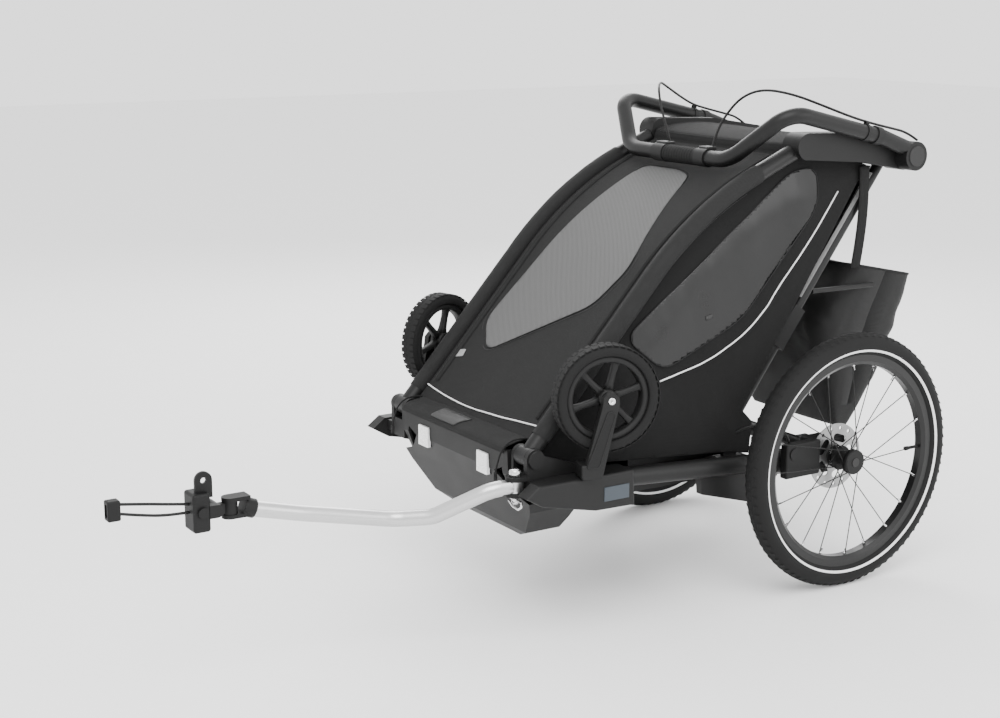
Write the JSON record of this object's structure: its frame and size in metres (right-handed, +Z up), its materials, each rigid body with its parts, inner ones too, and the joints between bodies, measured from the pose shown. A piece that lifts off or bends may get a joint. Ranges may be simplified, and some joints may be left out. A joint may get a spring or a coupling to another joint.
{
  "type": "child bicycle trailer",
  "caption": "Folding single-seat child bicycle trailer with a curved roll frame, zipped cover, stowed stroller wheels, swinging handlebar, cargo bag and side-mounted draw arm.",
  "frame": {"origin": "on the ground at the middle of the trailer's footprint, without its safety strap", "axes": "+X to the trailer's left, +Y to its rear, +Z up; it is towed towards -Y"},
  "size_m": [0.652, 1.704, 0.9569],
  "materials": {
    "fabric_black": "matte woven",
    "fabric_cover": "matte woven with a mesh window",
    "plastic_black": "fine-grained moulding",
    "frame_black": "satin powder coat",
    "tyre_rubber": "matte, with a white reflective ring",
    "rim_black": "satin black",
    "spoke_black": "black stainless",
    "rotor_steel": "brushed",
    "arm_alloy": "satin anodised",
    "button_grey": "satin",
    "reflector_white": "prismatic",
    "cable_black": "cable housing",
    "webbing_black": "webbing",
    "grip_rubber": "soft touch"
  },
  "bodies": {
    "chassis": {"axles_and_pins": "frame_black", "side_rails": "frame_black", "axle_carriers": "frame_black", "front_castings": "plastic_black", "strut_pivots": "frame_black", "cross_tubes": "frame_black", "socket_housings": "plastic_black", "brake_calipers": "frame_black", "floor_pan": "plastic_black", "seat_cushion": "fabric_black", "front_bumper": "plastic_black", "bumper_reflectors": "reflector_white", "lower_brake_cables": "cable_black", "arm_bracket": "plastic_black"},
    "upper_frame": {"roll_tubes": "frame_black", "top_brackets": "plastic_black", "roof_bows": "frame_black", "front_cover": "fabric_cover", "roof_panel": "fabric_black", "side_panels": "fabric_black", "zip_pulls": "webbing_black"},
    "rear_struts": {"struts": "frame_black", "strut_crossbars": "frame_black", "seat_back": "fabric_black", "rear_panel": "fabric_black", "cargo_bag": "fabric_black", "strut_buckles": "plastic_black", "bag_straps": "webbing_black"},
    "handlebar": {"handlebar_tube": "frame_black", "handlebar_hubs": "plastic_black", "handlebar_fittings": "plastic_black", "brake_cables": "cable_black"},
    "twist_grip": {"twist_grip": "grip_rubber"},
    "brake_pedal": {"brake_pedal": "plastic_black"},
    "hitch_arm": {"hitch_arm": "arm_alloy", "arm_head": "plastic_black"},
    "hitch_knuckle": {"hitch_knuckle": "plastic_black"},
    "hitch_receiver": {"hitch_receiver": "plastic_black", "safety_strap": "webbing_black", "strap_buckle": "plastic_black"},
    "wheel_left": {"tyre_left": "tyre_rubber", "rim_left": "rim_black", "wheel_hub_left": "frame_black", "spokes_left": "spoke_black", "brake_rotor_left": "rotor_steel"},
    "axle_button_left": {"axle_button_left": "button_grey"},
    "socket_button_left": {"socket_button_left": "button_grey"},
    "hub_button_left": {"hub_button_left": "button_grey"},
    "caster_fork_left": {"caster_fork_left": "plastic_black"},
    "caster_wheel_left": {"caster_wheel_left": "tyre_rubber"},
    "wheel_right": {"tyre_right": "tyre_rubber", "rim_right": "rim_black", "wheel_hub_right": "frame_black", "spokes_right": "spoke_black", "brake_rotor_right": "rotor_steel"},
    "axle_button_right": {"axle_button_right": "button_grey"},
    "socket_button_right": {"socket_button_right": "button_grey"},
    "hub_button_right": {"hub_button_right": "button_grey"},
    "caster_fork_right": {"caster_fork_right": "plastic_black"},
    "caster_wheel_right": {"caster_wheel_right": "tyre_rubber"}
  },
  "joints": [
    {"name": "fold", "type": "hinge", "parent": "chassis", "child": "upper_frame", "pos_m": [0, -0.203, 0.34], "axis": [-1, 0, 0], "range_deg": [0, 30], "deforming": ["side_panels", "cargo_bag", "bag_straps"]},
    {"name": "strut_fold", "type": "hinge", "parent": "chassis", "child": "rear_struts", "pos_m": [0, 0.267, 0.305], "axis": [-1, 0, 0], "range_deg": [0, 52.8], "deforming": ["cargo_bag", "bag_straps", "side_panels"]},
    {"name": "handlebar_pivot", "type": "hinge", "parent": "upper_frame", "child": "handlebar", "pos_m": [0, 0.657, 0.824], "axis": [-1, 0, 0], "range_deg": [0, 175]},
    {"name": "brake_twist", "type": "hinge", "parent": "handlebar", "child": "twist_grip", "pos_m": [0, 0.287, 0.825], "axis": [1, 0, 0], "range_deg": [-30, 30], "stiffness_Nm_per_rad": 0.3},
    {"name": "parking_brake", "type": "hinge", "parent": "chassis", "child": "brake_pedal", "pos_m": [0, 0.482, 0.25], "axis": [-1, 0, 0], "range_deg": [0, 20]},
    {"name": "hitch_arm_swing", "type": "hinge", "parent": "chassis", "child": "hitch_arm", "pos_m": [0.235, -0.24, 0.297], "axis": [0, 0, -1], "range_deg": [0, 62]},
    {"name": "hitch_yaw", "type": "hinge", "parent": "hitch_arm", "child": "hitch_knuckle", "pos_m": [0.092, -0.71, 0.3], "axis": [0, 0, 1], "range_deg": [-60, 60]},
    {"name": "hitch_pitch", "type": "hinge", "parent": "hitch_knuckle", "child": "hitch_receiver", "pos_m": [0.092, -0.74, 0.303], "axis": [1, 0, 0], "range_deg": [-25, 25]},
    {"name": "wheel_spin_left", "type": "hinge", "parent": "chassis", "child": "wheel_left", "pos_m": [0.3034, 0.482, 0.25], "axis": [1, 0, 0], "continuous": true},
    {"name": "axle_release_left", "type": "slide", "parent": "chassis", "child": "axle_button_left", "axis": [-1, 0, 0], "range_m": [0, 0.003], "stiffness_N_per_m": 600},
    {"name": "socket_release_left", "type": "slide", "parent": "chassis", "child": "socket_button_left", "axis": [-1, 0, 0], "range_m": [0, 0.0035], "stiffness_N_per_m": 600},
    {"name": "hub_release_left", "type": "slide", "parent": "handlebar", "child": "hub_button_left", "axis": [-1, 0, 0], "range_m": [0, 0.005], "stiffness_N_per_m": 600},
    {"name": "caster_lift_left", "type": "slide", "parent": "chassis", "child": "caster_fork_left", "axis": [0, 0, 1], "range_m": [0, 0.08]},
    {"name": "caster_spin_left", "type": "hinge", "parent": "caster_fork_left", "child": "caster_wheel_left", "pos_m": [0.28465, -0.08436, 0.445], "axis": [0.9613, -0.2756, 0], "continuous": true},
    {"name": "wheel_spin_right", "type": "hinge", "parent": "chassis", "child": "wheel_right", "pos_m": [-0.3034, 0.482, 0.25], "axis": [1, 0, 0], "continuous": true},
    {"name": "axle_release_right", "type": "slide", "parent": "chassis", "child": "axle_button_right", "axis": [1, 0, 0], "range_m": [0, 0.003], "stiffness_N_per_m": 600},
    {"name": "socket_release_right", "type": "slide", "parent": "chassis", "child": "socket_button_right", "axis": [1, 0, 0], "range_m": [0, 0.0035], "stiffness_N_per_m": 600},
    {"name": "hub_release_right", "type": "slide", "parent": "handlebar", "child": "hub_button_right", "axis": [1, 0, 0], "range_m": [0, 0.005], "stiffness_N_per_m": 600},
    {"name": "caster_lift_right", "type": "slide", "parent": "chassis", "child": "caster_fork_right", "axis": [0, 0, 1], "range_m": [0, 0.08]},
    {"name": "caster_spin_right", "type": "hinge", "parent": "caster_fork_right", "child": "caster_wheel_right", "pos_m": [-0.28465, -0.08436, 0.445], "axis": [-0.9613, -0.2756, 0], "continuous": true}
  ],
  "couplings": [
    {"joint": "strut_fold", "follows": "fold", "ratio": 1.76}
  ]
}
